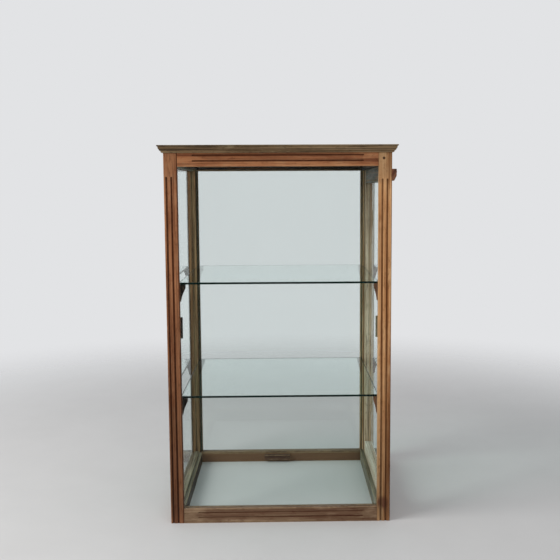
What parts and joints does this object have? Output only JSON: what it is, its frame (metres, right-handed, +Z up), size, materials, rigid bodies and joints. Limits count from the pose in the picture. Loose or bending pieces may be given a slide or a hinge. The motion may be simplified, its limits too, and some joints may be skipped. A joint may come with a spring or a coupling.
{
  "type": "glass display showcase",
  "caption": "Free-standing wooden showcase glazed on all sides, with a moulded top, a framed glass door in one side and loose glass shelves on corbels.",
  "frame": {"origin": "on the floor, under the middle of the case", "axes": "+Z up, -Y towards the glazed front, +X towards the door side"},
  "size_m": [0.5775, 0.5214, 0.939],
  "materials": {
    "frame_wood": "aged satin varnish over reddish brown stain, worn to bare wood on the arrises",
    "dark_wood": "dull dark stain",
    "cornice_wood": "dull olive brown varnish, rubbed at the edges",
    "pane_glass": "clear, slightly green, polished",
    "shelf_glass": "clear with dark green edges, polished",
    "brass": "tarnished",
    "screw_steel": "aged slotted steel"
  },
  "bodies": {
    "case": {"post_front_left": "frame_wood", "post_front_right": "frame_wood", "post_rear_left": "frame_wood", "post_rear_right": "frame_wood", "front_top_rail": "frame_wood", "front_bottom_rail": "frame_wood", "cornice_front": "cornice_wood", "rear_top_rail": "frame_wood", "rear_bottom_rail": "frame_wood", "cornice_rear": "cornice_wood", "left_top_rail": "frame_wood", "left_bottom_rail": "frame_wood", "cornice_left": "cornice_wood", "right_top_rail": "frame_wood", "right_bottom_rail": "frame_wood", "cornice_right": "cornice_wood", "top_board": "cornice_wood", "front_glass": "pane_glass", "front_glass_bead_bottom": "dark_wood", "front_glass_bead_top": "dark_wood", "rear_glass": "pane_glass", "rear_glass_bead_bottom": "dark_wood", "rear_glass_bead_top": "dark_wood", "left_glass": "pane_glass", "left_glass_bead_bottom": "dark_wood", "left_glass_bead_top": "dark_wood", "corbel_upper_front_left": "dark_wood", "corbel_upper_front_right": "dark_wood", "corbel_upper_rear_left": "dark_wood", "corbel_upper_rear_right": "dark_wood", "hinge_upper_pin": "brass", "hinge_upper_post_leaf": "brass", "corbel_lower_front_left": "dark_wood", "corbel_lower_front_right": "dark_wood", "corbel_lower_rear_left": "dark_wood", "corbel_lower_rear_right": "dark_wood", "hinge_lower_pin": "brass", "hinge_lower_post_leaf": "brass", "pane_cleat_left": "dark_wood", "pane_cleat_right": "dark_wood", "base_block": "dark_wood", "button_screw": "screw_steel", "joint_peg": "dark_wood"},
    "door": {"hinge_upper_door_leaf": "brass", "hinge_lower_door_leaf": "brass", "door_front_stile": "frame_wood", "door_rear_stile": "frame_wood", "door_top_rail": "frame_wood", "door_bottom_rail": "frame_wood", "door_bead_bottom": "dark_wood", "door_bead_top": "dark_wood", "door_bead_front": "dark_wood", "door_bead_rear": "dark_wood", "door_glass": "pane_glass"},
    "button": {"turn_button": "dark_wood"},
    "upper_shelf": {"upper_shelf": "shelf_glass"},
    "lower_shelf": {"lower_shelf": "shelf_glass"}
  },
  "joints": [
    {"name": "door_hinge", "type": "hinge", "parent": "case", "child": "door", "pos_m": [0.2785, 0.22, 0.4625], "axis": [0, 0, 1], "range_deg": [0, 175]},
    {"name": "button_turn", "type": "hinge", "parent": "case", "child": "button", "pos_m": [0.2825, -0.23, 0.8745], "axis": [1, 0, 0], "continuous": true},
    {"name": "upper_shelf_lift", "type": "slide", "parent": "case", "child": "upper_shelf", "axis": [0, 0, 1], "range_m": [0, 0.28]},
    {"name": "lower_shelf_lift", "type": "slide", "parent": "case", "child": "lower_shelf", "axis": [0, 0, 1], "range_m": [0, 0.145]}
  ]
}
